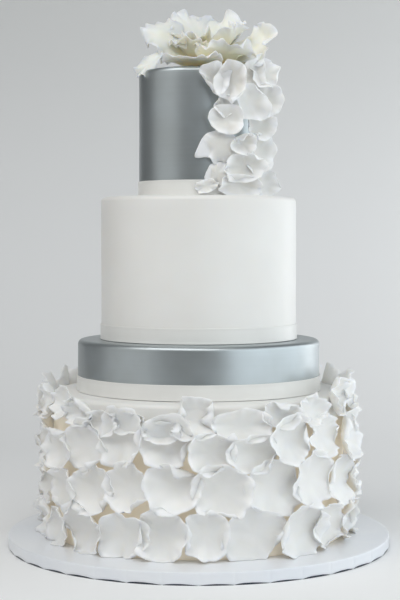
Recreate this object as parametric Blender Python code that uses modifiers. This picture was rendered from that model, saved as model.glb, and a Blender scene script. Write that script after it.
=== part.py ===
# Tiered wedding cake on its wrapped board: four iced tiers, three ribbons, a skirt of sugar petals
# round the bottom tier, a cascade of petals down the top tier and a large open sugar flower.
# Metres, +Z up. The origin is the centre of the board's underside, and the front faces -Y.
# Angles round the cake are degrees from the front, positive towards +X.
import math
import random

import bmesh
import bpy
from mathutils import Matrix

GAP = 0.0003                     # air left between pieces that rest on each other
ROUND_STEPS = 36                 # sides of the tiers and ribbons

BOARD_RADIUS = 0.2032
BOARD_THICKNESS = 0.0127
BOARD_TABS = 37                  # flat folds of the wrapping round the rim
BOARD_FOOT_INSET = 0.0035        # the wrapping lifts the rim off the table this far in
BOARD_FOOT_LIFT = 0.0012
BOARD_EDGE = 0.0012              # softened upper edge

TIERS = (                        # name, radius, top height, icing
    ("tier_1", 0.1540, 0.1642, "white_icing"),
    ("tier_2", 0.1287, 0.2185, "pearl_icing"),
    ("tier_3", 0.10365, 0.3685, "white_icing"),
    ("tier_4", 0.0632, 0.5010, "pearl_icing"),
)
SHOULDER_RADIUS = 0.0050         # rounding of each tier's upper edge
SHOULDER_STEPS = 2

RIBBON_WIDTH = 0.0160
RIBBON_THICKNESS = 0.0008

PETAL_SEGMENTS = 8
PETAL_BANDS = 4                  # rings of faces from the front pole to the back pole
PETAL_HALF_THICKNESS = 0.0009
SKIRT_ANGLE_STEP = 17.0          # usual spacing round the tier, degrees
SKIRT_REACH = 0.0230             # half the height of a whole petal
SKIRT_TUCK = 0.0030              # a petal's top passes this far behind the petals above it
SKIRT_NEAR = 0.0300              # petals within this arc of each other can touch
SKIRT_HIDDEN = 0.0140            # the top row starts this far above the middles of the row below
SKIRT_JITTER = 0.0035
FOOT_FLATNESS = 0.9              # a petal that leans in at its foot loses this share of its cup there

SKIRT_ROWS = (                   # each row: front petals as (angle, height in mm); overlap is how far
    # a petal reaches past the middle of the gap beside it, and lean tips its foot outwards
    dict(name="petal_row_1", cup=0.0110, lean=0.14, overlap=0.0035, back_height=34,
         front=((-81, 34), (-64, 30), (-46, 32), (-29, 31), (-12, 38), (2, 39), (19, 37), (38, 35),
                (55, 36), (74, 33))),
    dict(name="petal_row_2", cup=0.0110, lean=0.14, overlap=0.0035, back_height=78,
         front=((-77, 76), (-57, 72), (-40, 75), (-25, 81), (-9, 81), (9, 83), (27, 83), (45, 85),
                (65, 77), (83, 78))),
    dict(name="petal_row_3", cup=0.0110, lean=0.10, overlap=0.0040, back_height=124,
         front=((-79, 119), (-60, 119), (-43, 125), (-27, 136), (-11, 131), (3, 119), (19, 117),
                (35, 131), (53, 127), (73, 124))),
    dict(name="petal_row_4", cup=0.0060, lean=-0.20, overlap=0.0065, back_height=157,
         front=((-76, 158), (-59, 161), (-44, 154), (-28, 161), (-13, 154), (0, 158), (14, 152),
                (31, 158), (46, 158), (66, 158))),
)

CASCADE_PETALS = (               # angle, height in mm, half width in mm, from the wall outwards
    (7, 378, 11), (33, 379, 17), (75, 380, 14), (14, 392, 12), (22, 458, 12), (48, 489, 13),
    (37, 398, 18), (62, 411, 17), (16, 419, 17), (35, 421, 11), (23, 443, 16), (60, 436, 15),
    (47, 461, 17), (79, 463, 16), (13, 487, 14), (28, 482, 18), (74, 490, 15),
)
CASCADE_CUP = 0.0030
CASCADE_LAYER = 0.0056           # each petal that lies over another stands this much further out
CASCADE_TOP = 0.5080
EDGE_PETAL = (-60, 496, 13)      # hangs over the top tier's edge on its own

FLOWER_CENTRE = (0.009, 0.0)
FLOWER_RINGS = (                 # rise is the angle above the level, and sway raises every other petal
    # by that much and lowers the rest; turn is the first petal's direction, and width the half width
    dict(name="flower_low", count=6, rise=12, sway=3, turn=20, root=0.011, tip=0.066, width=0.0330),
    dict(name="flower_open", count=6, rise=32, sway=6, turn=0, root=0.010, tip=0.083, width=0.0350),
    dict(name="flower_inner", count=4, rise=58, sway=5, turn=54, root=0.010, tip=0.074, width=0.0270),
)
FLOWER_LIFT = 0.0016             # roots stand this far above the tier's top
FLOWER_CUP = 0.0040
FLOWER_TAPER = 0.35              # width at the root as a share of the width at the tip
BUD_PROFILE = ((0.0, 0.0300), (0.0050, 0.0280), (0.0080, 0.0215), (0.0060, 0.0140), (0.0, 0.0065))
BUD_STEPS = 12

MATERIALS = {                    # base colour, roughness, metallic
    "board_wrap": ((0.86, 0.88, 0.90), 0.35, 0.0),
    "white_icing": ((0.88, 0.87, 0.84), 0.55, 0.0),
    "pearl_icing": ((0.33, 0.37, 0.39), 0.35, 0.6),
    "satin_ribbon": ((0.80, 0.80, 0.77), 0.30, 0.0),
    "sugar_petal": ((0.90, 0.89, 0.86), 0.50, 0.0),
}


def clear_scene():
    for obj in list(bpy.data.objects):
        bpy.data.objects.remove(obj, do_unlink=True)


def make_collection(name):
    collection = bpy.data.collections.new(name)
    bpy.context.scene.collection.children.link(collection)
    return collection


def make_material(name):
    colour, roughness, metallic = MATERIALS[name]
    material = bpy.data.materials.new(name)
    material.use_nodes = True
    shader = material.node_tree.nodes["Principled BSDF"]
    shader.inputs["Base Color"].default_value = (*colour, 1.0)
    shader.inputs["Roughness"].default_value = roughness
    shader.inputs["Metallic"].default_value = metallic
    return material


def add_object(name, mesh, collection, material, origin):
    obj = bpy.data.objects.new(name, mesh)
    collection.objects.link(obj)
    obj.parent = origin
    mesh.materials.append(material)
    return obj


def add_turned(name, profile, closed, steps, collection, material, origin):
    """Spin a profile of (radius, height) points, which runs down its outer side, round +Z."""
    points = [(radius, 0.0, height) for radius, height in profile]
    edges = [(i, i + 1) for i in range(len(points) - 1)]
    if closed:
        edges.append((len(points) - 1, 0))
    mesh = bpy.data.meshes.new(name)
    mesh.from_pydata(points, edges, [])
    obj = add_object(name, mesh, collection, material, origin)
    screw = obj.modifiers.new("Turn", "SCREW")
    screw.axis = "Z"
    screw.steps = steps
    screw.render_steps = steps
    screw.use_merge_vertices = True
    screw.merge_threshold = 0.00001
    screw.use_smooth_shade = True
    return obj


def board_profile():
    return (
        (0.0, BOARD_THICKNESS),
        (BOARD_RADIUS - BOARD_EDGE, BOARD_THICKNESS),
        (BOARD_RADIUS, BOARD_THICKNESS - BOARD_EDGE),
        (BOARD_RADIUS, BOARD_FOOT_LIFT + BOARD_EDGE),
        (BOARD_RADIUS - BOARD_EDGE, BOARD_FOOT_LIFT),
        (BOARD_RADIUS - BOARD_FOOT_INSET, 0.0),
        (0.0, 0.0),
    )


def tier_profile(radius, bottom, top):
    profile = [(0.0, top)]
    for step in range(SHOULDER_STEPS + 1):
        turn = math.pi / 2 * step / SHOULDER_STEPS
        profile.append((radius - SHOULDER_RADIUS * (1 - math.sin(turn)),
                        top - SHOULDER_RADIUS * (1 - math.cos(turn))))
    profile.append((radius, bottom))
    profile.append((0.0, bottom))
    return profile


def ribbon_profile(tier_radius, bottom):
    inner = tier_radius + GAP
    outer = inner + RIBBON_THICKNESS
    return ((outer, bottom + RIBBON_WIDTH), (outer, bottom), (inner, bottom), (inner, bottom + RIBBON_WIDTH))


def unit_sphere():
    """A unit sphere with a straight side of its rim, not a corner, towards +X and -X."""
    bm = bmesh.new()
    half_step = math.pi / PETAL_SEGMENTS
    bmesh.ops.create_uvsphere(bm, u_segments=PETAL_SEGMENTS, v_segments=PETAL_BANDS, radius=1.0)
    bmesh.ops.rotate(bm, verts=bm.verts, cent=(0, 0, 0), matrix=Matrix.Rotation(half_step, 3, "Z"))
    return bm


def petal_sphere(place):
    """A squashed sphere: place() gives each point of the unit disc and its side, +1 front to -1 back."""
    bm = unit_sphere()
    for vert in bm.verts:
        vert.co = place(vert.co.x, vert.co.y, vert.co.z)
    mesh = bpy.data.meshes.new("petal")
    bm.to_mesh(mesh)
    bm.free()
    mesh.shade_smooth()
    return mesh


def wall_petal(reach, cup, lean, wall_radius, layer, floor, rng):
    """A cupped petal bent round a wall, at angle 0 and height 0. reach is (left, right, down, up)."""
    left, right, down, up = reach
    widen = 1 / math.cos(math.pi / PETAL_SEGMENTS)
    ripple = rng.uniform(0.0010, 0.0018)
    phase = rng.uniform(0.0, 2 * math.pi)

    def relief(x, y, side):
        share = min(1.0, math.hypot(x, y))
        theta = math.atan2(y, x)
        fade = math.sin(theta) ** 2
        across = x * widen * (right if x > 0 else left)
        along = y * (up if y > 0 else down) * (1 - 0.06 * fade * math.cos(3 * theta + phase))
        dish = cup if lean >= 0 else cup * (1 + min(0.0, y) * FOOT_FLATNESS)
        height = dish * share ** 2 - lean * along + ripple * share ** 3 * fade * math.sin(4 * theta + phase)
        return across, along, height + side * PETAL_HALF_THICKNESS

    probe = unit_sphere()
    lowest = min(relief(*vert.co)[2] for vert in probe.verts)
    probe.free()
    foot = layer + GAP * 1.5 - lowest
    bend_radius = wall_radius + foot

    def place(x, y, side):
        across, along, height = relief(x, y, side)
        turn = across / bend_radius
        distance = wall_radius + foot + height
        return distance * math.sin(turn), -distance * math.cos(turn), max(along, floor)

    return petal_sphere(place)


def fill_row(row, rng):
    """The row's front petals, and evenly spaced ones with uneven heights from there round the back."""
    petals = [(angle, height / 1000) for angle, height in row["front"]]
    first = petals[0][0] + 360
    last = petals[-1][0]
    count = round((first - last) / SKIRT_ANGLE_STEP) - 1
    step = (first - last) / (count + 1)
    for i in range(count):
        height = row["back_height"] / 1000 + rng.uniform(-SKIRT_JITTER, SKIRT_JITTER)
        petals.append((last + step * (i + 1), height))
    return petals


def arc_between(angle_a, angle_b, radius):
    turn = (angle_b - angle_a + 180) % 360 - 180
    return math.radians(turn) * radius


def heights_near(petals, angle, radius):
    return [height for other, height in petals if abs(arc_between(angle, other, radius)) < SKIRT_NEAR]


def skirt_reach(rows, level, index, radius):
    """Left, right, down and up reach of one skirt petal, from the petals beside, above and below it."""
    petals = rows[level]
    angle, height = petals[index]
    before = petals[index - 1][0]
    after = petals[(index + 1) % len(petals)][0]
    overlap = SKIRT_ROWS[level]["overlap"]
    left = abs(arc_between(before, angle, radius)) / 2 + overlap
    right = abs(arc_between(angle, after, radius)) / 2 + overlap
    up = SKIRT_REACH
    down = SKIRT_REACH
    top_row = level == len(rows) - 1
    if top_row:
        up = SKIRT_REACH * 0.85
        down = height - max(heights_near(rows[level - 1], angle, radius)) - SKIRT_HIDDEN
    elif level < len(rows) - 2:
        up = min(up, min(heights_near(rows[level + 1], angle, radius)) - SKIRT_REACH + SKIRT_TUCK - height)
    if level == 0:
        down = min(down, height - BOARD_THICKNESS - 2 * GAP)
    return left, right, down, up


def add_skirt(collection, cutters, material, origin):
    radius = TIERS[0][1]
    rng = random.Random(7)
    rows = [fill_row(row, rng) for row in SKIRT_ROWS]
    for level, row in enumerate(SKIRT_ROWS):
        loose = bpy.data.collections.new(row["name"] + "_joined")
        cutters.children.link(loose)
        whole = None
        for index, (angle, height) in enumerate(rows[level]):
            reach = skirt_reach(rows, level, index, radius)
            floor = BOARD_THICKNESS + GAP - height
            mesh = wall_petal(reach, row["cup"], row["lean"], radius, 0.0, floor, rng)
            target = collection if whole is None else loose
            name = row["name"] if whole is None else f"{row['name']}_{index}"
            petal = add_object(name, mesh, target, material, origin)
            petal.rotation_euler.z = math.radians(angle)
            petal.location.z = height
            if whole is None:
                whole = petal
            else:
                petal.hide_render = True
                petal.display_type = "WIRE"
        union = whole.modifiers.new("Join petals", "BOOLEAN")
        union.operation = "UNION"
        union.operand_type = "COLLECTION"
        union.collection = loose
        union.solver = "EXACT"


def add_wall_petal(name, petal, layer, wall_radius, floor, top, collection, material, origin, rng):
    angle, height, half = petal
    height /= 1000
    half /= 1000
    reach = (half, half, min(half, height - floor), min(half, top - height))
    mesh = wall_petal(reach, CASCADE_CUP, 0.0, wall_radius, layer, floor - height, rng)
    obj = add_object(name, mesh, collection, material, origin)
    obj.rotation_euler.z = math.radians(angle)
    obj.location.z = height
    return obj


def cascade_layers(petals, radius):
    """How many petals each one lies over: one more than the highest petal beneath it."""
    layers = []
    for i, (angle, height, half) in enumerate(petals):
        layer = 0
        for (other_angle, other_height, other_half), other_layer in zip(petals[:i], layers):
            apart = math.hypot(arc_between(angle, other_angle, radius), (height - other_height) / 1000)
            if apart < (half + other_half) / 1000 + 2 * GAP:
                layer = max(layer, other_layer + 1)
        layers.append(layer)
    return layers


def add_cascade(collection, material, origin):
    rng = random.Random(11)
    tier_radius, top = TIERS[3][1], TIERS[3][2]
    wall_radius = tier_radius + GAP + RIBBON_THICKNESS
    floor = TIERS[2][2] + 2 * GAP
    layers = cascade_layers(CASCADE_PETALS, wall_radius)
    for i, petal in enumerate(CASCADE_PETALS):
        add_wall_petal(f"cascade_petal_{i + 1:02d}", petal, layers[i] * CASCADE_LAYER, wall_radius, floor,
                       CASCADE_TOP, collection, material, origin, rng)
    add_wall_petal("edge_petal", EDGE_PETAL, 0.0, tier_radius, floor, top + 0.006, collection, material,
                   origin, rng)


def flower_petal(ring, rng):
    """A long dished petal that lies along +X from its root, narrow there and wide towards its tip."""
    middle = (ring["root"] + ring["tip"]) / 2
    half_length = (ring["tip"] - ring["root"]) / 2
    phase = rng.uniform(0.0, 2 * math.pi)

    def place(x, y, side):
        taper = FLOWER_TAPER + (1 - FLOWER_TAPER) * (x + 1) / 2
        share = min(1.0, math.hypot(x, y))
        ripple = 0.0012 * share ** 3 * max(0.0, x) * math.sin(4 * math.atan2(y, x) + phase)
        height = FLOWER_CUP * (taper * y) ** 2 + ripple
        return middle + half_length * x, ring["width"] * taper * y, height + side * PETAL_HALF_THICKNESS

    return petal_sphere(place)


def add_flower(collection, material, origin):
    rng = random.Random(23)
    base = TIERS[3][2] + FLOWER_LIFT
    for ring in FLOWER_RINGS:
        for i in range(ring["count"]):
            petal = add_object(f"{ring['name']}_{i + 1}", flower_petal(ring, rng), collection, material, origin)
            petal.location = (*FLOWER_CENTRE, base)
            azimuth = ring["turn"] + 360 / ring["count"] * i
            rise = ring["rise"] + ring["sway"] * (-1) ** i
            petal.rotation_euler = (0.0, -math.radians(rise), math.radians(azimuth))
    bud = add_turned("flower_bud", BUD_PROFILE, False, BUD_STEPS, collection, material, origin)
    bud.location = (*FLOWER_CENTRE, base)


def main():
    clear_scene()
    collection = make_collection("tiered_wedding_cake")
    cutters = make_collection("joined_pieces")
    origin = bpy.data.objects.new("cake_origin", None)
    collection.objects.link(origin)
    materials = {name: make_material(name) for name in MATERIALS}

    add_turned("cake_board", board_profile(), False, BOARD_TABS, collection, materials["board_wrap"], origin)
    bottom = BOARD_THICKNESS
    for level, (name, radius, top, icing) in enumerate(TIERS):
        profile = tier_profile(radius, bottom + GAP, top)
        add_turned(name, profile, False, ROUND_STEPS, collection, materials[icing], origin)
        if level > 0:
            add_turned(f"ribbon_{level + 1}", ribbon_profile(radius, bottom + GAP), True, ROUND_STEPS,
                       collection, materials["satin_ribbon"], origin)
        bottom = top
    add_skirt(collection, cutters, materials["sugar_petal"], origin)
    add_cascade(collection, materials["sugar_petal"], origin)
    add_flower(collection, materials["sugar_petal"], origin)


main()
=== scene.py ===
import math
import random

import bmesh
import bpy
from mathutils import Matrix, Vector, noise


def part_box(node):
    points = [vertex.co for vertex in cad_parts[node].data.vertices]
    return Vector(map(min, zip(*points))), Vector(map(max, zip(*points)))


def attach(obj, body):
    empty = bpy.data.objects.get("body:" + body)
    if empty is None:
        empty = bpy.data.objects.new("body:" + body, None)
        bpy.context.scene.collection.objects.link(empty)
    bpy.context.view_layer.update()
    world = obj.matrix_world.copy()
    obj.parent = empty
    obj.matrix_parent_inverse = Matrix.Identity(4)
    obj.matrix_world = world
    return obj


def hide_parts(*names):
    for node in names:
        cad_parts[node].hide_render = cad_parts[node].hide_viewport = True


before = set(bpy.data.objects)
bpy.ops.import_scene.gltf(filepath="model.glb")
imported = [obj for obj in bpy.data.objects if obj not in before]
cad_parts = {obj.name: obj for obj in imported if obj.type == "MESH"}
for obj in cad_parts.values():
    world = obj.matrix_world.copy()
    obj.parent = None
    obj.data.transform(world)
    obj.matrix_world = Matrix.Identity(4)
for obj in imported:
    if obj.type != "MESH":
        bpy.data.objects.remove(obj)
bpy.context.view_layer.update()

# Four iced tiers on a wrapped board, satin ribbons, ruffled sugar petals and an open sugar flower.
# Metres, +Z up, front of the cake towards -Y.
# Angles round the cake are degrees from the front, positive to +X.
scene = bpy.context.scene
scene.view_settings.view_transform = "Standard"
mm = 0.001
mergeGap = 0.01 * mm
lobeMean = 1.27        # twice the mean of a rectified sine, so that lobes neither grow nor shrink a petal

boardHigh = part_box("cake_board")[1]
tierBoxes = {level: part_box(f"tier_{level}") for level in (1, 2, 3, 4)}


def tierRadius(level):
    return tierBoxes[level][1].x


def tierTop(level):
    return tierBoxes[level][1].z


def waveSum(waves, theta):
    return sum(size * math.sin(count * theta + phase) for count, size, phase in waves)


def lobeSum(waves, theta):
    # rounded lobes with a notch between each two
    lobes = [(size, abs(math.sin(0.5 * count * theta + phase))) for count, size, phase in waves]
    return sum(size * (2 * lobe - lobeMean) for size, lobe in lobes)


def randomWaves(counts, rng):
    return [(count, rng.uniform(0.5, 1.0), rng.uniform(0, 2 * math.pi)) for count in counts]


def spinProfile(bm, points, steps):
    # turns a line of (radius, height) points all the way round
    verts = [bm.verts.new((radius, 0, height)) for radius, height in points]
    edges = [bm.edges.new(pair) for pair in zip(verts, verts[1:])]
    bmesh.ops.spin(bm, geom=verts + edges, cent=(0, 0, 0), axis=(0, 0, 1), angle=2 * math.pi, steps=steps,
                   use_merge=True)
    bmesh.ops.remove_doubles(bm, verts=bm.verts, dist=mergeGap)
    bmesh.ops.recalc_face_normals(bm, faces=bm.faces)


def addPiece(name, bm, material, slot, *nodes):
    mesh = bpy.data.meshes.new(name)
    bm.to_mesh(mesh)
    bm.free()
    mesh.shade_smooth()
    mesh.materials.append(material)
    piece = bpy.data.objects.new(name, mesh)
    scene.collection.objects.link(piece)
    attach(piece, "root")
    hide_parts(*nodes)
    return piece


# shader groups shared by the materials
def newGroup(name, inputs, outputs):
    group = bpy.data.node_groups.new(name, "ShaderNodeTree")
    for label, kind, value in inputs:
        socket = group.interface.new_socket(name=label, in_out="INPUT", socket_type=kind)
        if value is not None:
            socket.default_value = value
    for label, kind in outputs:
        group.interface.new_socket(name=label, in_out="OUTPUT", socket_type=kind)
    return group, group.nodes.new("NodeGroupInput"), group.nodes.new("NodeGroupOutput")


def mathNode(tree, operation, first, second):
    node = tree.nodes.new("ShaderNodeMath")
    node.operation = operation
    for socket, value in zip(node.inputs, (first, second)):
        if isinstance(value, (int, float)):
            socket.default_value = value
        else:
            tree.links.new(value, socket)
    return node.outputs[0]


def mixColours(tree, factor, first, second):
    node = tree.nodes.new("ShaderNodeMix")
    node.data_type = "RGBA"
    for socket, value in zip((node.inputs[0], node.inputs[6], node.inputs[7]), (factor, first, second)):
        if isinstance(value, bpy.types.NodeSocket):
            tree.links.new(value, socket)
        else:
            socket.default_value = value
    return node.outputs[2]


def noiseNode(tree, vector, scale, detail, roughness):
    node = tree.nodes.new("ShaderNodeTexNoise")
    tree.links.new(vector, node.inputs["Vector"])
    tree.links.new(scale, node.inputs["Scale"])
    node.inputs["Detail"].default_value = detail
    node.inputs["Roughness"].default_value = roughness
    return node.outputs["Fac"]


def ramped(tree, value, low, high):
    node = tree.nodes.new("ShaderNodeMapRange")
    node.interpolation_type = "SMOOTHSTEP"
    for label, number in (("Value", value), ("From Min", low), ("From Max", high)):
        if isinstance(number, bpy.types.NodeSocket):
            tree.links.new(number, node.inputs[label])
        else:
            node.inputs[label].default_value = number
    return node.outputs["Result"]


def makePasteGrain():
    # fine sugar grain and soft rolled unevenness, as a height and a mask of the grains
    group, given, result = newGroup(
        "pasteGrain",
        (("Vector", "NodeSocketVector", None), ("Grain", "NodeSocketFloat", 1800.0),
         ("Dents", "NodeSocketFloat", 60.0)),
        (("Height", "NodeSocketFloat"), ("Mask", "NodeSocketFloat")))
    grain = noiseNode(group, given.outputs["Vector"], given.outputs["Grain"], 3.0, 0.6)
    dents = noiseNode(group, given.outputs["Vector"], given.outputs["Dents"], 2.0, 0.5)
    height = mathNode(group, "ADD", mathNode(group, "MULTIPLY", grain, 0.25), dents)
    group.links.new(height, result.inputs["Height"])
    group.links.new(ramped(group, grain, 0.45, 0.7), result.inputs["Mask"])
    return group


def makeSoftTint():
    # slow drift between two close colours
    group, given, result = newGroup(
        "softTint",
        (("Vector", "NodeSocketVector", None), ("Scale", "NodeSocketFloat", 12.0),
         ("Light", "NodeSocketColor", (1, 1, 1, 1)), ("Deep", "NodeSocketColor", (0.8, 0.8, 0.8, 1))),
        (("Color", "NodeSocketColor"),))
    drift = noiseNode(group, given.outputs["Vector"], given.outputs["Scale"], 3.0, 0.55)
    share = ramped(group, drift, 0.3, 0.7)
    colour = mixColours(group, share, given.outputs["Light"], given.outputs["Deep"])
    group.links.new(colour, result.inputs["Color"])
    return group


def makeHeightFade():
    # 0 below Low, 1 above High
    group, given, result = newGroup(
        "heightFade",
        (("Vector", "NodeSocketVector", None), ("Low", "NodeSocketFloat", 0.0),
         ("High", "NodeSocketFloat", 1.0)),
        (("Mask", "NodeSocketFloat"),))
    split = group.nodes.new("ShaderNodeSeparateXYZ")
    group.links.new(given.outputs["Vector"], split.inputs[0])
    mask = ramped(group, split.outputs["Z"], given.outputs["Low"], given.outputs["High"])
    group.links.new(mask, result.inputs["Mask"])
    return group


def makeBrushLines():
    # fine lines that run round the cake: brush marks in lustre, threads in satin
    group, given, result = newGroup(
        "brushLines",
        (("Vector", "NodeSocketVector", None), ("Density", "NodeSocketFloat", 1.0)),
        (("Height", "NodeSocketFloat"), ("Mask", "NodeSocketFloat")))
    stretch = group.nodes.new("ShaderNodeMapping")
    stretch.inputs["Scale"].default_value = (6.0, 6.0, 420.0)        # far finer up and down than round
    group.links.new(given.outputs["Vector"], stretch.inputs["Vector"])
    lines = noiseNode(group, stretch.outputs["Vector"], given.outputs["Density"], 4.0, 0.6)
    group.links.new(lines, result.inputs["Height"])
    group.links.new(ramped(group, lines, 0.35, 0.65), result.inputs["Mask"])
    return group


groups = {
    "grain": makePasteGrain(),
    "tint": makeSoftTint(),
    "fade": makeHeightFade(),
    "lines": makeBrushLines(),
}


# materials
def startMaterial(name):
    material = bpy.data.materials.new(name)
    material.use_nodes = True
    tree = material.node_tree
    shader = tree.nodes["Principled BSDF"]
    place = tree.nodes.new("ShaderNodeTexCoord").outputs["Object"]
    return material, tree, shader, place


def useGroup(tree, key, vector, **values):
    node = tree.nodes.new("ShaderNodeGroup")
    node.node_tree = groups[key]
    tree.links.new(vector, node.inputs["Vector"])
    for label, value in values.items():
        node.inputs[label].default_value = value
    return node.outputs


def useTint(tree, place, look):
    tint = useGroup(tree, "tint", place, Scale=look["tintScale"], Light=look["light"], Deep=look["deep"])
    return tint["Color"]


def useGrain(tree, place, look):
    return useGroup(tree, "grain", place, Grain=look["grain"], Dents=look["dents"])


def pieceAttribute(tree, name):
    node = tree.nodes.new("ShaderNodeAttribute")
    node.attribute_name = name
    return node.outputs["Fac"]


def setShader(shader, **values):
    for label, value in values.items():
        shader.inputs[label.replace("_", " ")].default_value = value


def finishSurface(tree, shader, look, colour, mask, height):
    # the colour, a roughness that grows with the mask, and the bump
    tree.links.new(colour, shader.inputs["Base Color"])
    rough = mathNode(tree, "ADD", mathNode(tree, "MULTIPLY", mask, look["roughSpread"]), look["roughness"])
    tree.links.new(rough, shader.inputs["Roughness"])
    bump = tree.nodes.new("ShaderNodeBump")
    bump.inputs["Strength"].default_value = look["bump"]
    bump.inputs["Distance"].default_value = look["bumpDepth"]
    tree.links.new(height, bump.inputs["Height"])
    tree.links.new(bump.outputs["Normal"], shader.inputs["Normal"])


# the depth where the painted gap light is full, and whiteAbove, are distances down from the bottom tier's
# top
whiteIcing = {
    "light": (0.83, 0.83, 0.81, 1), "deep": (0.80, 0.79, 0.765, 1), "tintScale": 9.0,
    "paintedGapLight": (0.92, 0.84, 0.70, 1), "paintedGlow": 0.16, "paintedGapLightBelow": 27 * mm, "whiteAbove": 18 * mm,
    "grain": 1500.0, "dents": 35.0, "bump": 0.25, "bumpDepth": 0.3 * mm,
    "roughness": 0.42, "roughSpread": 0.08, "coat": 0.08, "coatRoughness": 0.3,
    "subsurface": 0.15, "scatter": (1.0, 0.8, 0.6), "scatterDepth": 3 * mm,
}


def makeWhiteIcing():
    look = whiteIcing
    material, tree, shader, place = startMaterial("whiteIcing")
    grain = useGrain(tree, place, look)
    # painted light: the bottom tier's side, behind its petals, is painted a warmer cream for the warm light
    # that comes through the petals into the gaps
    low = tierTop(1) - look["paintedGapLightBelow"]
    high = tierTop(1) - look["whiteAbove"]
    white = useGroup(tree, "fade", place, Low=low, High=high)["Mask"]
    colour = mixColours(tree, white, look["paintedGapLight"], useTint(tree, place, look))
    finishSurface(tree, shader, look, colour, grain["Mask"], grain["Height"])
    # painted glow: an emission standing in for light that reaches it through the thin petals
    paintedGlow = mathNode(tree, "MULTIPLY", mathNode(tree, "SUBTRACT", 1.0, white), look["paintedGlow"])
    tree.links.new(paintedGlow, shader.inputs["Emission Strength"])
    setShader(shader, Emission_Color=look["paintedGapLight"], Subsurface_Weight=look["subsurface"],
              Subsurface_Radius=look["scatter"], Subsurface_Scale=look["scatterDepth"],
              Coat_Weight=look["coat"], Coat_Roughness=look["coatRoughness"])
    return material


pearlIcing = {
    "light": (0.465, 0.51, 0.53, 1), "deep": (0.42, 0.455, 0.465, 1), "tintScale": 16.0,
    "streak": (0.60, 0.65, 0.67, 1), "streakShare": 0.05, "lineDensity": 1.0, "lineHeight": 0.06,
    "grain": 2200.0, "dents": 50.0, "bump": 0.12, "bumpDepth": 0.3 * mm,
    "roughness": 0.38, "roughSpread": 0.05, "metallic": 0.90,
}


def makePearlIcing():
    look = pearlIcing
    material, tree, shader, place = startMaterial("pearlIcing")
    lines = useGroup(tree, "lines", place, Density=look["lineDensity"])
    grain = useGrain(tree, place, look)
    share = mathNode(tree, "MULTIPLY", lines["Mask"], look["streakShare"])
    colour = mixColours(tree, share, useTint(tree, place, look), look["streak"])
    brushed = mathNode(tree, "MULTIPLY", lines["Height"], look["lineHeight"])
    height = mathNode(tree, "ADD", brushed, grain["Height"])
    finishSurface(tree, shader, look, colour, grain["Mask"], height)
    setShader(shader, Metallic=look["metallic"])
    return material


satinRibbon = {
    "light": (0.82, 0.82, 0.795, 1), "deep": (0.78, 0.775, 0.75, 1), "tintScale": 22.0, "threadDensity": 3.0,
    "bump": 0.25, "bumpDepth": 0.15 * mm, "roughness": 0.28, "roughSpread": 0.12,
    "sheen": 0.25, "sheenRoughness": 0.4, "specular": 0.7,
}


def makeSatinRibbon():
    look = satinRibbon
    material, tree, shader, place = startMaterial("satinRibbon")
    threads = useGroup(tree, "lines", place, Density=look["threadDensity"])
    finishSurface(tree, shader, look, useTint(tree, place, look), threads["Mask"], threads["Height"])
    setShader(shader, Sheen_Weight=look["sheen"], Sheen_Roughness=look["sheenRoughness"],
              Specular_IOR_Level=look["specular"])
    return material


boardWrap = {
    "light": (0.82, 0.84, 0.87, 1), "deep": (0.78, 0.81, 0.86, 1), "tintScale": 14.0,
    "foot": (0.02, 0.03, 0.05, 1), "grain": 900.0, "dents": 90.0, "bump": 0.25, "bumpDepth": 0.25 * mm,
    "roughness": 0.30, "roughSpread": 0.10, "coat": 0.2, "coatRoughness": 0.2,
}


def makeBoardWrap():
    look = boardWrap
    material, tree, shader, place = startMaterial("boardWrap")
    grain = useGrain(tree, place, look)
    # painted shadow: the foot under the tabs is painted near-black for the shade in the gap under the board
    foot = ramped(tree, pieceAttribute(tree, "foot"), 0.4, 0.6)
    colour = mixColours(tree, foot, useTint(tree, place, look), look["foot"])
    finishSurface(tree, shader, look, colour, grain["Mask"], grain["Height"])
    setShader(shader, Coat_Weight=look["coat"], Coat_Roughness=look["coatRoughness"])
    return material


# the petals are painted whiter towards the rim: a painted highlight for light through their thin edges
sugarPetal = {
    "light": (0.88, 0.88, 0.865, 1), "deep": (0.86, 0.855, 0.83, 1), "tintScale": 18.0,
    "rim": (0.94, 0.94, 0.94, 1), "rimFrom": 0.8, "grain": 1800.0, "dents": 120.0,
    "bump": 0.22, "bumpDepth": 0.25 * mm, "roughness": 0.45, "roughSpread": 0.10,
    "subsurface": 0.4, "scatter": (1.0, 0.85, 0.65), "scatterDepth": 2.5 * mm,
}
# painted shade: the cascade's petals are the same paste painted darker, for the shade they sit in
cascadePetal = dict(sugarPetal, light=(0.81, 0.805, 0.785, 1), deep=(0.73, 0.72, 0.69, 1), rimFrom=0.5)
# painted shade: the flower's petals are painted cream and then golden towards its heart, for the warm shade
# deep between them
flowerPetal = dict(
    sugarPetal, light=(0.88, 0.88, 0.83, 1), deep=(0.86, 0.855, 0.75, 1), subsurface=1.0,
    paintedMidShade=(0.88, 0.85, 0.69, 1), paintedHeartShade=(0.72, 0.57, 0.32, 1), heart=(9 * mm, 0, tierTop(4)),
    paintedShadeCore=0.55 * 33 * mm, paintedShadeReach=33 * mm, paintedShadeFadeReach=54 * mm)


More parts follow.
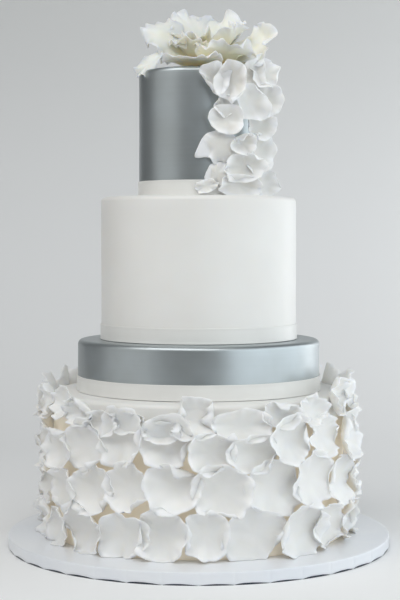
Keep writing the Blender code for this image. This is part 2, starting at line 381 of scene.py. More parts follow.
def makeSugarPetal(name, look):
    material, tree, shader, place = startMaterial(name)
    grain = useGrain(tree, place, look)
    # painted highlight: the rim is whitened
    rim = ramped(tree, pieceAttribute(tree, "rim"), look["rimFrom"], 1.0)
    colour = mixColours(tree, rim, useTint(tree, place, look), look["rim"])
    # painted shade: cream, then gold, closer to the flower's heart
    if "heart" in look:
        node = tree.nodes.new("ShaderNodeVectorMath")
        node.operation = "DISTANCE"
        tree.links.new(place, node.inputs[0])
        node.inputs[1].default_value = look["heart"]
        far = node.outputs["Value"]
        nearby = ramped(tree, far, look["paintedShadeCore"], look["paintedShadeReach"])
        paintedShadeColour = mixColours(tree, nearby, look["paintedHeartShade"], look["paintedMidShade"])
        outward = ramped(tree, far, look["paintedShadeReach"], look["paintedShadeFadeReach"])
        colour = mixColours(tree, outward, paintedShadeColour, colour)
    finishSurface(tree, shader, look, colour, grain["Mask"], grain["Height"])
    setShader(shader, Subsurface_Weight=look["subsurface"], Subsurface_Radius=look["scatter"],
              Subsurface_Scale=look["scatterDepth"])
    return material


icingWhite = makeWhiteIcing()
icingPearl = makePearlIcing()
ribbonSatin = makeSatinRibbon()
wrapPaper = makeBoardWrap()
petalSugar = makeSugarPetal("sugarPetal", sugarPetal)
petalPaintedShade = makeSugarPetal("cascadeSugarPaintedShade", cascadePetal)
petalPaintedHeartShade = makeSugarPetal("flowerSugar", flowerPetal)
print("materials ready")


# the board: a thick drum wrapped in paper, its side folded into flat tabs over a foot painted near-black as
# painted shadow
drum = {
    "seed": 3, "tabs": 37, "stepsPerTab": 8, "gather": 0.9, "flatten": 0.5 * mm,
    "crease": 0.45 * mm, "creaseSlant": 0.014, "creaseShare": 1 / 24,
    "edge": 1.3 * mm, "edgeSteps": 4, "lift": 2.3 * mm, "footInset": 1.0 * mm, "footHeight": 2.6 * mm,
    "topRings": (0, 0.3, 0.6, 0.72, 0.78, 0.84, 0.9, 0.95, 0.98), "sideRows": (0.75, 0.6, 0.45, 0.3, 0.15),
}


def drumOutline(radius, top):
    edge = drum["edge"]
    points = [(radius * share, top) for share in drum["topRings"]]
    for step in range(drum["edgeSteps"] + 1):
        turn = math.pi / 2 * step / drum["edgeSteps"]
        points.append((radius - edge * (1 - math.sin(turn)), top - edge * (1 - math.cos(turn))))
    points += [(radius, top * share) for share in drum["sideRows"]]
    inset = radius - drum["footInset"]
    points += [(radius - 0.15 * mm, 0.0), (radius - 0.6 * mm, 0.1 * mm)]
    points += [(inset + 0.1 * mm, drum["footHeight"]), (inset, drum["footHeight"]), (inset, 0.0)]
    return points + [(radius * 0.5, 0.0), (0, 0)]


def makeBoard():
    rng = random.Random(drum["seed"])
    radius = boardHigh.x
    top = boardHigh.z
    inset = radius - drum["footInset"]
    bm = bmesh.new()
    spinProfile(bm, drumOutline(radius, top), drum["tabs"] * drum["stepsPerTab"])
    foot = bm.verts.layers.float.new("foot")
    # each tab's lift, the lean of that lift, the slant of its crease and its crease's depth
    tabs = [(rng.uniform(0.6, 1.0), rng.uniform(-0.35, 0.35), rng.uniform(-1, 1), rng.uniform(0.5, 1.0))
            for _ in range(drum["tabs"])]
    for vert in bm.verts:
        far = math.hypot(vert.co.x, vert.co.y)
        if far < radius * 0.7:
            continue
        place = (math.atan2(vert.co.x, -vert.co.y) / (2 * math.pi) * drum["tabs"]) % drum["tabs"]
        whole = int(place + 1e-6)        # a point right on a crease belongs to the tab after it
        tab = whole % drum["tabs"]
        share = place - whole
        lift, lean, slant, depth = tabs[tab]
        # points are gathered towards the creases, where a tab meets the next
        crossing = share - drum["gather"] * math.sin(2 * math.pi * share) / (2 * math.pi)
        nearCrease = max(0.0, 1 - min(crossing, 1 - crossing) / drum["creaseShare"])
        low = 1 - min(1.0, max(0.0, vert.co.z / top))
        sideways = slant * drum["creaseSlant"] * low * nearCrease
        angle = 2 * math.pi * (tab + crossing + sideways) / drum["tabs"]
        # the foot is marked for the painted shadow in the material
        if far < inset + 0.05 * mm and vert.co.z < drum["footHeight"] + 0.1 * mm:
            vert[foot] = 1.0
        elif far > radius - 1.5 * drum["edge"]:
            far -= drum["flatten"] * low * 4 * crossing * (1 - crossing)
            far -= drum["crease"] * depth * nearCrease
            if vert.co.z < 1.0 * mm:
                along = min(1.0, max(0.0, crossing)) ** (1 + lean)
                vert.co.z += drum["lift"] * lift * max(0.0, math.sin(math.pi * along)) ** 0.7
        vert.co.x = far * math.sin(angle)
        vert.co.y = -far * math.cos(angle)
    bmesh.ops.recalc_face_normals(bm, faces=bm.faces)
    addPiece("cakeBoard", bm, wrapPaper, "board_wrap", "cake_board")


# the tiers: sugar paste rolled over sponge, so never quite true
tierLook = {
    "steps": 192, "topRings": (0, 0.25, 0.5, 0.7, 0.82, 0.9), "shoulder": 5 * mm, "shoulderSteps": 8,
    "rowHeight": 6 * mm, "foot": 1.5 * mm, "uneven": 0.35 * mm, "topSag": 0.3 * mm,
    "bulgeScale": 14, "rippleScale": 45, "rippleShare": 0.35,
}


def tierOutline(low, high):
    radius = high.x
    shoulder = tierLook["shoulder"]
    foot = tierLook["foot"]
    points = [(radius * share, high.z) for share in tierLook["topRings"]]
    for step in range(tierLook["shoulderSteps"] + 1):
        turn = math.pi / 2 * step / tierLook["shoulderSteps"]
        points.append((radius - shoulder * (1 - math.sin(turn)), high.z - shoulder * (1 - math.cos(turn))))
    wall = high.z - shoulder - low.z
    rows = max(6, round(wall / tierLook["rowHeight"]))
    points += [(radius, high.z - shoulder - wall * row / rows) for row in range(1, rows)]
    return points + [(radius, low.z + foot), (radius - foot * 0.4, low.z + 0.3 * mm), (radius - foot, low.z),
                     (radius * 0.5, low.z), (0, low.z)]


def makeTier(level, material, slot):
    low, high = tierBoxes[level]
    bm = bmesh.new()
    spinProfile(bm, tierOutline(low, high), tierLook["steps"])
    for vert in bm.verts:
        away = Vector((vert.co.x, vert.co.y, 0))
        if away.length < high.x * 0.05:
            continue
        bulge = noise.noise(vert.co * tierLook["bulgeScale"] + Vector((0, 0, level * 5.0)))
        ripple = noise.noise(vert.co * tierLook["rippleScale"] + Vector((0, 0, level * 9.0)))
        onSide = min(1.0, max(0.0, (away.length / high.x - 0.9) * 10))
        swell = bulge + tierLook["rippleShare"] * ripple
        vert.co += away.normalized() * tierLook["uneven"] * swell * onSide
        if vert.co.z > high.z - tierLook["shoulder"]:
            vert.co.z += tierLook["topSag"] * (bulge - 0.5)
    addPiece(f"tier{level}", bm, material, slot, f"tier_{level}")


# the ribbons: satin bands with a lapped end at the back
ribbonLook = {
    "steps": 160, "clear": 0.2 * mm, "ripple": 0.12 * mm, "edgeDrift": 0.25 * mm, "selvedge": 0.12 * mm,
    "lapAngle": 14, "lapSteps": 8, "lapGap": 0.15 * mm,
}


def ribbonSection(inner, outer, low, high):
    # a closed outline, a little thicker along both selvedges
    proud = outer + ribbonLook["selvedge"]
    step = (high - low) / 12
    outside = [(proud, high - 0.2 * mm), (proud, high - step * 0.6), (outer, high - step)]
    outside += [(outer, high - step * share) for share in (3, 6, 9)]
    outside += [(outer, low + step), (proud, low + step * 0.6), (proud, low + 0.2 * mm), (outer, low)]
    return [(outer, high)] + outside + [(inner, low), (inner, (low + high) / 2), (inner, high)]


def makeRibbon(level):
    low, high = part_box(f"ribbon_{level}")
    outer = high.x
    inner = tierRadius(level) + ribbonLook["clear"]
    section = ribbonSection(inner, outer, low.z, high.z)
    bm = bmesh.new()
    verts = [bm.verts.new((radius, 0, height)) for radius, height in section]
    edges = [bm.edges.new(pair) for pair in zip(verts, verts[1:] + verts[:1])]
    bmesh.ops.spin(bm, geom=verts + edges, cent=(0, 0, 0), axis=(0, 0, 1), angle=2 * math.pi,
                   steps=ribbonLook["steps"], use_merge=True)
    # the lapped end, glued over the join at the back
    lift = outer - inner + ribbonLook["lapGap"]
    lap = [bm.verts.new((radius + lift, 0, height)) for radius, height in section]
    lapEdges = [bm.edges.new(pair) for pair in zip(lap, lap[1:] + lap[:1])]
    start = math.radians(90 - ribbonLook["lapAngle"] / 2)
    bmesh.ops.rotate(bm, verts=lap, cent=(0, 0, 0), matrix=Matrix.Rotation(start, 3, "Z"))
    startFace = bm.faces.new(lap)
    bmesh.ops.spin(bm, geom=[startFace] + lap + lapEdges, cent=(0, 0, 0), axis=(0, 0, 1),
                   angle=math.radians(ribbonLook["lapAngle"]), steps=ribbonLook["lapSteps"])
    bmesh.ops.remove_doubles(bm, verts=bm.verts, dist=mergeGap)
    bmesh.ops.recalc_face_normals(bm, faces=bm.faces)
    middle = (low.z + high.z) / 2
    for vert in bm.verts:
        around = Vector((vert.co.x, vert.co.y, 0)).normalized()
        drift = noise.noise(around * 3 + Vector((0, 0, level * 7.0)))
        away = 0.5 + 0.5 * noise.noise(around * 6 + Vector((0, 0, level * 3.0 + vert.co.z * 8)))
        vert.co.z += ribbonLook["edgeDrift"] * drift * (1 if vert.co.z > middle else 0.4)
        vert.co += around * ribbonLook["ripple"] * away
    addPiece(f"ribbon{level}", bm, ribbonSatin, "satin_ribbon", f"ribbon_{level}")


makeBoard()
makeTier(1, icingWhite, "white_icing")
makeTier(2, icingPearl, "pearl_icing")
makeTier(3, icingWhite, "white_icing")
makeTier(4, icingPearl, "pearl_icing")
for level in (2, 3, 4):
    makeRibbon(level)
print("board, tiers and ribbons made")


# petals: thin discs of rolled paste with frilled edges; rimShare is the rim's part of the thickness
disc = {
    "wall": (60, 11), "fine": (104, 17), "spacing": 0.85, "thickness": 1.1 * mm, "rimShare": 0.35,
    "clear": 0.4 * mm,
}


def makeDisc(name, sides, rings):
    # a unit disc, with its rim marked for the painted rim highlight in the material and for a thinner edge
    bm = bmesh.new()
    rim = bm.verts.layers.float.new("rim")
    thick = bm.verts.layers.deform.verify()
    spinProfile(bm, [((ring / rings) ** disc["spacing"], 0) for ring in range(rings + 1)], sides)
    if sum(face.normal.z for face in bm.faces) < 0:
        bmesh.ops.reverse_faces(bm, faces=bm.faces)
    for vert in bm.verts:
        vert[rim] = vert.co.length
        vert[thick][0] = 1 - vert.co.length ** 3
    mesh = bpy.data.meshes.new(name)
    bm.to_mesh(mesh)
    bm.free()
    return mesh


wallDisc = makeDisc("wallDisc", *disc["wall"])
fineDisc = makeDisc("fineDisc", *disc["fine"])


def rollOver(point, direction, start, radius, limit):
    # rolls what lies beyond a straight line: radius above 0 rolls it up towards the petal's face
    along = Vector((math.cos(math.radians(direction)), math.sin(math.radians(direction)), 0))
    beyond = point.dot(along) - start
    if beyond <= 0:
        return point
    size = abs(radius)
    side = math.copysign(1, radius)
    turn = min(beyond / size, math.radians(limit))
    rest = beyond - turn * size
    reach = size * math.sin(turn) + rest * math.cos(turn) - side * point.z * math.sin(turn)
    rise = side * (size * (1 - math.cos(turn)) + rest * math.sin(turn)) + point.z * math.cos(turn)
    return point + along * (reach - beyond) + Vector((0, 0, rise - point.z))


def rolledUp(point, rolls):
    # each roll is a direction in degrees, a start and a radius in mm, and how far it turns in degrees
    for direction, start, radius, limit in rolls:
        point = rollOver(point, direction, start * mm, radius * mm, limit)
    return point


def petalShape(wide, tall, look, rng, rolls=()):
    # gives the place of each point of the unit disc: x across, y up, z out of the petal's face
    # the counts are waves round the rim, and the higher powers keep scallops and frills close to it
    lobes = randomWaves((2, 3, 4), rng)
    scallops = randomWaves((6, 8, 11), rng)
    ruffles = randomWaves((3, 4, 5, 7), rng)
    frills = randomWaves((9, 12, 16), rng)

    def shape(co):
        rho = min(1.0, math.hypot(co.x, co.y))
        theta = math.atan2(co.y, co.x)
        reach = 1 + look["uneven"] * rho ** 2 * waveSum(lobes, theta)
        reach += look["scallop"] * rho ** 6 * lobeSum(scallops, theta)
        rise = look["cup"] * rho ** look["cupPower"]
        rise += look["ruffle"] * rho ** 3 * waveSum(ruffles, theta) * 0.5
        rise += look["frill"] * rho ** 7 * waveSum(frills, theta)
        return rolledUp(Vector((co.x * wide * reach, co.y * tall * reach, rise)), rolls)

    return shape


def turned(turn):
    # tilt leans the top out, swing the right side out, roll spins the petal in its own plane
    tilt, swing, roll = (math.radians(value) for value in turn)
    spun = Matrix.Rotation(-tilt, 3, "X") @ Matrix.Rotation(swing, 3, "Y")
    return spun @ Matrix.Rotation(roll, 3, "Z")


def wrapPlace(shape, wallRadius, angle, height, lift, turn, floor):
    # bends a petal round the wall, never into it nor below the floor
    spun = turned(turn)

    def place(co):
        point = spun @ shape(co)
        around = math.radians(angle) + point.x / (wallRadius + lift)
        away = wallRadius + max(disc["clear"], lift + point.z)
        up = max(height + point.y, floor)
        return Vector((away * math.sin(around), -away * math.cos(around), up))

    return place


def hangPlace(shape, wallRadius, angle, height, lift, facing, turn, floor):
    # hangs a petal in front of the wall, facing its own way
    spun = turned(turn)
    face = math.radians(facing)
    across = Vector((math.cos(face), math.sin(face), 0))
    out = Vector((math.sin(face), -math.cos(face), 0))
    far = wallRadius + lift
    centre = Vector((far * math.sin(math.radians(angle)), -far * math.cos(math.radians(angle)), height))

    def place(co):
        point = spun @ shape(co)
        spot = centre + across * point.x + out * point.z
        level = math.hypot(spot.x, spot.y)
        least = wallRadius + disc["clear"]
        if level < least:
            spot.x *= least / level
            spot.y *= least / level
        spot.z = max(height + point.y, floor)
        return spot

    return place


def startPetals():
    bm = bmesh.new()
    bm.verts.layers.float.new("rim")
    bm.verts.layers.deform.verify()
    return bm


def addPetal(bm, template, place):
    before = len(bm.verts)
    bm.from_mesh(template)
    bm.verts.ensure_lookup_table()
    for vert in bm.verts[before:]:
        vert.co = place(vert.co)


def finishPetals(name, bm, material, node):
    piece = addPiece(name, bm, material, "sugar_petal", node)
    group = piece.vertex_groups.new(name="thick")
    wall = piece.modifiers.new("Thickness", "SOLIDIFY")
    wall.thickness = disc["thickness"]
    wall.offset = 0
    wall.vertex_group = group.name
    wall.thickness_vertex_group = disc["rimShare"]


# the skirt: each row's front petals as angle, height, half width, half height in mm and any rolled edges
# lift and liftStep are mm off the wall, tilt is degrees, and cupSpread varies the cup from petal to petal
skirtLook = {
    "cup": 12 * mm, "cupPower": 2.6, "ruffle": 4.2 * mm, "frill": 1.3 * mm, "uneven": 0.05, "scallop": 0.028,
    "grow": 1.12, "liftStep": 1.6, "tiltSpread": 5, "swingSpread": 7, "cupSpread": (0.75, 1.2), "curls": 1,
    "clearBoard": 0.5 * mm,
}
skirtRows = (
    {"node": "petal_row_1", "name": "petalRow1",
     "backHeight": 34, "lift": 0.5, "tilt": -5, "seed": 108, "front": (
        (-79, 32, 22, 19), (-62, 30, 21, 20), (-45, 36, 27, 24), (-27, 35, 25, 23), (-13, 38, 24, 24),
        (2, 39, 21, 23), (20, 38, 29, 26), (38, 38, 28, 25), (54, 37, 24, 23), (72, 34, 25, 21))},
    {"node": "petal_row_2", "name": "petalRow2",
     "backHeight": 78, "lift": 1.5, "tilt": -2, "seed": 112, "front": (
        (-75, 72, 22, 21), (-56, 71, 22, 22), (-40, 76, 25, 23), (-25, 82, 22, 23), (-9, 85, 25, 23),
        (8, 81, 26, 26), (27, 83, 29, 26), (44, 86, 27, 25), (63, 79, 26, 24), (81, 78, 24, 22))},
    {"node": "petal_row_3", "name": "petalRow3",
     "backHeight": 124, "lift": 2.5, "tilt": 0, "seed": 103, "front": (
        (-76, 110, 22, 21), (-59, 113, 23, 21), (-43, 120, 25, 25), (-27, 132, 24, 27), (-11, 131, 24, 25),
        (4, 118, 20, 20), (19, 116, 25, 18), (33, 129, 24, 23), (51, 127, 24, 20), (70, 122, 24, 24))},
    {"node": "petal_row_4", "name": "petalRow4",
     "backHeight": 157, "lift": 0.0, "tilt": 10, "seed": 104, "front": (
        (-74, 156, 20, 17), (-59, 157, 17, 15), (-47, 151, 20, 13, ((60, 9, 4, 90),)), (-36, 142, 18, 12),
        (-26, 143, 17, 10), (-13, 136, 17, 10), (-1, 149, 23, 20, ((5, 18, 5, 110), (165, 18, 5, 90))),
        (15, 142, 25, 17), (30, 153, 18, 14, ((80, 11, 6, 70),)), (44, 154, 17, 15),
        (62, 163, 20, 18))},
)
# round the back: degrees between petals, then mm
skirtBack = {
    "spacing": 17, "jitter": 3.5, "halfWidth": 24, "widthSpread": 1.5, "halfHeight": 22, "heightSpread": 2,
}


def rowPetals(row, rng):
    # the front petals, then evenly spaced ones with uneven heights round the back
    petals = list(row["front"])
    last = petals[-1][0]
    first = petals[0][0] + 360
    count = round((first - last) / skirtBack["spacing"]) - 1
    step = (first - last) / (count + 1)
    for i in range(count):
        petals.append((last + step * (i + 1),
                       row["backHeight"] + rng.uniform(-1, 1) * skirtBack["jitter"],
                       skirtBack["halfWidth"] + rng.uniform(-1, 1) * skirtBack["widthSpread"],
                       skirtBack["halfHeight"] + rng.uniform(-1, 1) * skirtBack["heightSpread"]))
    return petals


# a short lip rolled up anywhere on the rim: where it starts, its radius in mm and how far it turns
curl = {"start": (0.84, 0.96), "radius": (4, 7), "turn": (40, 80)}


def curledEdge(wide, tall, rng):
    direction = rng.uniform(0, 360)
    level = math.radians(direction)
    half = math.hypot(wide * math.cos(level), tall * math.sin(level))
    start = half * rng.uniform(*curl["start"])
    return direction, start, rng.uniform(*curl["radius"]), rng.uniform(*curl["turn"])


def makeSkirt():
    floor = boardHigh.z + skirtLook["clearBoard"]
    grown = skirtLook["grow"] * mm
    for row in skirtRows:
        rng = random.Random(row["seed"])
        bm = startPetals()
        for number, (angle, height, wide, tall, *rolls) in enumerate(rowPetals(row, rng)):
            lift = (row["lift"] + skirtLook["liftStep"] * (number % 2) + rng.uniform(0, 1)) * mm
            tilt = row["tilt"] + rng.uniform(-1, 1) * skirtLook["tiltSpread"]
            turn = (tilt, rng.uniform(-1, 1) * skirtLook["swingSpread"], 0)
            look = dict(skirtLook, cup=skirtLook["cup"] * rng.uniform(*skirtLook["cupSpread"]))
            curls = rolls[0] if rolls else [curledEdge(wide, tall, rng) for _ in range(skirtLook["curls"])]
            shape = petalShape(wide * grown, tall * grown, look, rng, curls)
            addPetal(bm, wallDisc, wrapPlace(shape, tierRadius(1), angle, height * mm, lift, turn, floor))
        finishPetals(row["name"], bm, petalSugar, row["node"])


makeSkirt()
print("skirt petals made")

# the cascade down the top tier: smooth cupped petals, each its own piece
# at is angle, height, half width, half height and lift in mm; turn is tilt, swing and roll in degrees
# facing is how much of its angle round the tier a petal turns by, and curlInset keeps curls inside the rim
cascadeLook = {
    "cup": 7 * mm, "cupPower": 2.2, "ruffle": 4.4 * mm, "frill": 0.5 * mm, "uneven": 0.075, "scallop": 0.01,
    "facing": 0.42, "curls": 2, "curlInset": 0.93, "firstSeed": 201, "clearTier": 0.6 * mm,
}
cascade = (
    {"at": (7, 378, 13, 7, 2), "turn": (0, -8, 12), "look": {"cup": 3 * mm}},
    {"at": (36, 379, 24, 13, 6), "turn": (-12, 0, 0)},
    {"at": (66, 382, 18, 14, 10), "turn": (-8, 5, -10)},
    {"at": (16, 390, 12, 13, 4), "turn": (0, -20, 0), "look": {"cup": -3 * mm}},
    {"at": (23, 459, 13, 11, 5), "turn": (0, 0, 0)},
    {"at": (50, 492, 14, 17, 8), "turn": (0, 0, 0)},
    {"at": (38, 398, 24, 16, 10), "turn": (-8, 0, 5)},
    {"at": (55, 412, 17, 25, 10), "turn": (0, 12, -14)},
    {"at": (18, 419, 18, 18, 7), "turn": (0, -12, 0), "look": {"cup": -5 * mm}},
    {"at": (35, 423, 14, 14, 13), "turn": (0, 0, 0), "rolls": ((110, 6, 4, 90),)},
    {"at": (23, 445, 20, 15, 9), "turn": (4, -16, 0)},
    {"at": (54, 440, 18, 15, 12), "turn": (8, 6, 20)},
    {"at": (43, 463, 20, 20, 12), "turn": (0, 5, 0)},
    {"at": (61, 467, 17, 18, 14), "turn": (0, -5, 0), "look": {"cup": 10 * mm}},
    {"at": (13, 487, 14, 17, 6), "turn": (-8, -8, 38), "rolls": ((0, 5, -9, 60), (180, 8, 5, 90))},
    {"at": (26, 484, 18, 21, 14), "turn": (-6, -24, 8), "look": {"cup": 9 * mm}},
    {"at": (58, 494, 18, 16, 14), "turn": (10, 0, 0)},
)


def makeCascade():
    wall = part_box("ribbon_4")[1].x
    floor = tierTop(3) + cascadeLook["clearTier"]
    for number, petal in enumerate(cascade, 1):
        rng = random.Random(cascadeLook["firstSeed"] + number - 1)
        angle, height, wide, tall, lift = petal["at"]
        look = dict(cascadeLook, **petal.get("look", {}))
        inset = look["curlInset"]
        curls = petal.get("rolls")
        if not curls:
            curls = [curledEdge(wide * inset, tall * inset, rng) for _ in range(look["curls"])]
        shape = petalShape(wide * mm, tall * mm, look, rng, curls)
        facing = angle * look["facing"]
        place = hangPlace(shape, wall, angle, height * mm, lift * mm, facing, petal["turn"], floor)
        bm = startPetals()
        addPetal(bm, fineDisc, place)
        finishPetals(f"cascadePetal{number:02d}", bm, petalPaintedShade, f"cascade_petal_{number:02d}")


makeCascade()
print("cascade made")

# the flower on top: long petals round a bud, frilled, arched and rolled
# aim is azimuth from +X and rise; size is root, tip and half width in mm
# twist turns a petal about its length, and its rolls are as in rolledUp
# base is its heart's height over the tier, clear its lowest height, kept until edge past the rim
flowerLook = {
    "taper": 0.42, "cup": 5 * mm, "ruffle": 6 * mm, "frill": 2.2 * mm, "uneven": 0.04, "scallop": 0.035,
    "base": 1.6 * mm, "clear": 0.8 * mm, "edge": 2 * mm, "firstSeed": 301,
}
# the bud's outline as radius and height in mm
bud = {
    "steps": 32, "swirl": 0.10, "folds": 3, "twist": 0.25,
    "outline": ((0, 30), (3, 29.4), (5.4, 27.6), (7.2, 24.5), (8, 21), (7.4, 17), (6.4, 13.5), (3.5, 9),
                (0, 6.5)),
}
flower = (
    {"node": "flower_low_1", "name": "flowerLow1", "aim": (345, 10), "size": (11, 64, 24), "twist": 38,
     "rolls": ((0, 52, 5, 90),)},
    {"node": "flower_low_2", "name": "flowerLow2", "aim": (75, 14), "size": (11, 60, 34)},
    {"node": "flower_low_3", "name": "flowerLow3", "aim": (145, 16), "size": (11, 58, 34)},
    {"node": "flower_low_4", "name": "flowerLow4", "aim": (226, 37), "size": (11, 52, 30),
     "look": {"ruffle": 3.5 * mm, "cup": 6 * mm}, "rolls": ((0, 44, -6, 50),)},
    {"node": "flower_low_5", "name": "flowerLow5", "aim": (252, 6), "size": (11, 73, 42),
     "look": {"cup": 3 * mm, "ruffle": 3 * mm, "frill": 1.4 * mm}},
    {"node": "flower_low_6", "name": "flowerLow6", "aim": (297, 24), "size": (11, 58, 42),
     "look": {"scallop": 0.05, "cup": 2 * mm}},
    {"node": "flower_open_1", "name": "flowerOpen1", "aim": (353, 29), "size": (10, 84, 31), "twist": 48,
     "look": {"cup": -3 * mm, "ruffle": 8 * mm}, "rolls": ((0, 66, 8, 50),)},
    {"node": "flower_open_2", "name": "flowerOpen2", "aim": (62, 56), "size": (10, 78, 40),
     "look": {"ruffle": 8 * mm}},
    {"node": "flower_open_3", "name": "flowerOpen3", "aim": (116, 57), "size": (10, 80, 37),
     "look": {"ruffle": 8 * mm, "scallop": 0.05}},
    {"node": "flower_open_4", "name": "flowerOpen4", "aim": (187, 43), "size": (10, 82, 42), "twist": -48,
     "look": {"cup": -7 * mm, "ruffle": 7 * mm}, "rolls": ((0, 60, -14, 60),)},
    {"node": "flower_open_5", "name": "flowerOpen5", "aim": (215, 50), "size": (10, 54, 24),
     "rolls": ((0, 36, -7, 100),)},
    {"node": "flower_open_6", "name": "flowerOpen6", "aim": (268, 47), "size": (10, 50, 20),
     "rolls": ((0, 32, -6, 120),)},
    {"node": "flower_inner_1", "name": "flowerInner1", "aim": (335, 48), "size": (8, 62, 24),
     "look": {"cup": 14 * mm}},
    {"node": "flower_inner_2", "name": "flowerInner2", "aim": (150, 50), "size": (8, 62, 34),
     "look": {"cup": 8 * mm}},
    {"node": "flower_inner_3", "name": "flowerInner3", "aim": (236, 64), "size": (8, 48, 22),
     "rolls": ((0, 32, -7, 90),)},
    {"node": "flower_inner_4", "name": "flowerInner4", "aim": (20, 56), "size": (8, 62, 26),
     "look": {"cup": 8 * mm}},
)


def flowerShape(petal, rng):
    # x runs from the petal's root to its tip, z is its inner face
    look = dict(flowerLook, **petal.get("look", {}))
    root, tip, wide = (value * mm for value in petal["size"])
    lobes = randomWaves((3, 4, 5), rng)
    scallops = randomWaves((7, 9, 13), rng)
    ruffles = randomWaves((4, 5, 6, 7), rng)
    frills = randomWaves((11, 15, 18), rng)

    def shape(co):
        rho = min(1.0, math.hypot(co.x, co.y))
        theta = math.atan2(co.y, co.x)
        outer = 0.5 + 0.5 * co.x
        reach = 1 + look["uneven"] * rho ** 2 * outer * waveSum(lobes, theta)
        reach += look["scallop"] * rho ** 6 * outer * lobeSum(scallops, theta)
        taper = look["taper"] + (1 - look["taper"]) * outer
        rise = look["cup"] * (co.y * co.y) * taper
        rise += look["ruffle"] * rho ** 3 * outer * waveSum(ruffles, theta) * 0.6
        rise += look["frill"] * rho ** 7 * outer * waveSum(frills, theta)
        along = root + (tip - root) * (co.x * reach + 1) / 2
        return rolledUp(Vector((along, wide * taper * co.y * reach, rise)), petal.get("rolls", ()))

    return shape


def aimed(petal):
    azimuth, rise = (math.radians(value) for value in petal["aim"])
    level = Matrix.Rotation(azimuth, 3, "Z") @ Matrix.Rotation(-rise, 3, "Y")
    return level @ Matrix.Rotation(math.radians(petal.get("twist", 0)), 3, "X")


def makeFlower():
    floor = tierTop(4) + flowerLook["clear"]
    heart = Vector(flowerPetal["heart"]) + Vector((0, 0, flowerLook["base"]))
    for number, petal in enumerate(flower):
        rng = random.Random(flowerLook["firstSeed"] + number)
        turn = aimed(petal)
        shape = flowerShape(petal, rng)

        def place(co):
            spot = heart + turn @ shape(co)
            if math.hypot(spot.x, spot.y) < tierRadius(4) + flowerLook["edge"]:
                spot.z = max(spot.z, floor)
            return spot

        bm = startPetals()
        addPetal(bm, fineDisc, place)
        finishPetals(petal["name"], bm, petalPaintedHeartShade, petal["node"])
    bm = bmesh.new()
    spinProfile(bm, [(radius * mm, height * mm) for radius, height in bud["outline"]], bud["steps"])
    for vert in bm.verts:
        around = math.atan2(vert.co.y, vert.co.x)
        swirl = math.sin(bud["folds"] * around + vert.co.z / mm * bud["twist"])
        vert.co += Vector((vert.co.x, vert.co.y, 0)) * bud["swirl"] * swirl
    bmesh.ops.translate(bm, verts=bm.verts, vec=heart)
    addPiece("flowerBud", bm, petalPaintedHeartShade, "sugar_petal", "flower_bud")


edgePetal = {
    "seed": 401, "heart": (-38, -22, 521), "aim": (194, -46), "size": (0, 38, 13), "twist": -50,
    "look": {"cup": 2 * mm, "ruffle": 4 * mm, "frill": 1.0 * mm},
}


def makeEdgePetal():
    # the petal that leans out over the edge of the top tier
    bm = startPetals()
    heart = Vector(edgePetal["heart"]) * mm
    turn = aimed(edgePetal)
    shape = flowerShape(edgePetal, random.Random(edgePetal["seed"]))
    addPetal(bm, fineDisc, lambda co: heart + turn @ shape(co))
    finishPetals("edgePetal", bm, petalPaintedHeartShade, "edge_petal")


makeFlower()
makeEdgePetal()
print("flower made")

# studio: pale sweep, soft lights, camera
studio = {
    "sweepWidth": 2.4, "front": -0.85, "back": 1.7, "curve": 1.0, "height": 3.2, "curveSteps": 16,
    "colour": (0.89, 0.895, 0.90, 1), "paintedShadeTopColour": (0.66, 0.665, 0.66, 1), "paintedShadeFrom": 0.15, "paintedShadeTo": 1.1,
    "roughness": 0.9, "specular": 0.1, "lightAim": (0, 0, 0.28), "washAim": (-0.3, 1.6, 0.1),
    "world": (0.90, 0.92, 0.93, 1), "worldStrength": 0.14,
}


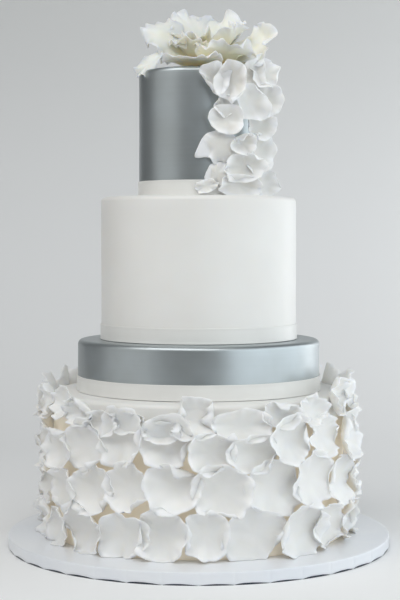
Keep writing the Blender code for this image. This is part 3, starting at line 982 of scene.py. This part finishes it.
def makeSweep():
    bm = bmesh.new()
    half = studio["sweepWidth"] / 2
    outline = [(studio["front"], 0.0), (studio["back"] - studio["curve"], 0.0)]
    for step in range(1, studio["curveSteps"] + 1):
        turn = math.pi / 2 * step / studio["curveSteps"]
        outline.append((studio["back"] - studio["curve"] * (1 - math.sin(turn)),
                        studio["curve"] * (1 - math.cos(turn))))
    outline.append((studio["back"], studio["height"]))
    verts = [bm.verts.new((-half, y, z)) for y, z in outline]
    edges = [bm.edges.new(pair) for pair in zip(verts, verts[1:])]
    moved = bmesh.ops.extrude_edge_only(bm, edges=edges)["geom"]
    bmesh.ops.translate(bm, verts=[item for item in moved if isinstance(item, bmesh.types.BMVert)],
                        vec=(2 * half, 0, 0))
    bmesh.ops.recalc_face_normals(bm, faces=bm.faces)
    mesh = bpy.data.meshes.new("studioSweep")
    bm.to_mesh(mesh)
    bm.free()
    mesh.shade_smooth()
    material, tree, shader, place = startMaterial("sweepPaper")
    # painted shade: the paper is painted darker towards the top, as the light falls off
    fade = useGroup(tree, "fade", place, Low=studio["paintedShadeFrom"], High=studio["paintedShadeTo"])
    colour = mixColours(tree, fade["Mask"], studio["colour"], studio["paintedShadeTopColour"])
    tree.links.new(colour, shader.inputs["Base Color"])
    setShader(shader, Roughness=studio["roughness"], Specular_IOR_Level=studio["specular"])
    mesh.materials.append(material)
    sweep = bpy.data.objects.new("studioSweep", mesh)
    scene.collection.objects.link(sweep)


# name, azimuth from the front, elevation, distance, width, height, power, colour
softboxes = (
    ("keyRight", 72, 10, 1.7, 3.6, 1.7, 29, (0.90, 0.965, 1.0)),
    ("fillLeft", -66, 10, 1.9, 1.9, 1.8, 5.5, (1.0, 1.0, 0.98)),
    ("overhead", -24, 52, 2.0, 2.8, 1.3, 30, (1.0, 1.0, 0.985)),
    ("backWash", 128, 3, 1.9, 1.0, 0.9, 7.5, (0.98, 0.99, 1.0)),
)


def addSoftboxes():
    aim = Vector(studio["lightAim"])
    for name, azimuth, elevation, distance, width, height, power, colour in softboxes:
        light = bpy.data.lights.new(name, "AREA")
        light.shape = "RECTANGLE"
        light.size = width
        light.size_y = height
        light.energy = power
        light.color = colour
        lamp = bpy.data.objects.new(name, light)
        scene.collection.objects.link(lamp)
        around = math.radians(azimuth)
        rise = math.radians(elevation)
        level = math.cos(rise)
        direction = Vector((math.sin(around) * level, -math.cos(around) * level, math.sin(rise)))
        lamp.location = aim + direction * distance
        target = studio["washAim"] if name == "backWash" else aim
        lamp.rotation_euler = (lamp.location - Vector(target)).to_track_quat("Z", "Y").to_euler()


def setWorld():
    world = bpy.data.worlds.new("studioAir")
    world.use_nodes = True
    background = world.node_tree.nodes["Background"]
    background.inputs["Color"].default_value = studio["world"]
    background.inputs["Strength"].default_value = studio["worldStrength"]
    scene.world = world


camera = {"lens": 85.74, "sensor": 36, "place": (0.0014, -1.526, 0.322), "dip": 2.357}


def addCamera():
    data = bpy.data.cameras.new("camera")
    data.lens = camera["lens"]
    data.sensor_width = camera["sensor"]
    lookout = bpy.data.objects.new("camera", data)
    scene.collection.objects.link(lookout)
    lookout.location = camera["place"]
    lookout.rotation_euler = (math.radians(90 - camera["dip"]), 0, 0)
    scene.camera = lookout


makeSweep()
addSoftboxes()
setWorld()
addCamera()
print("studio ready")
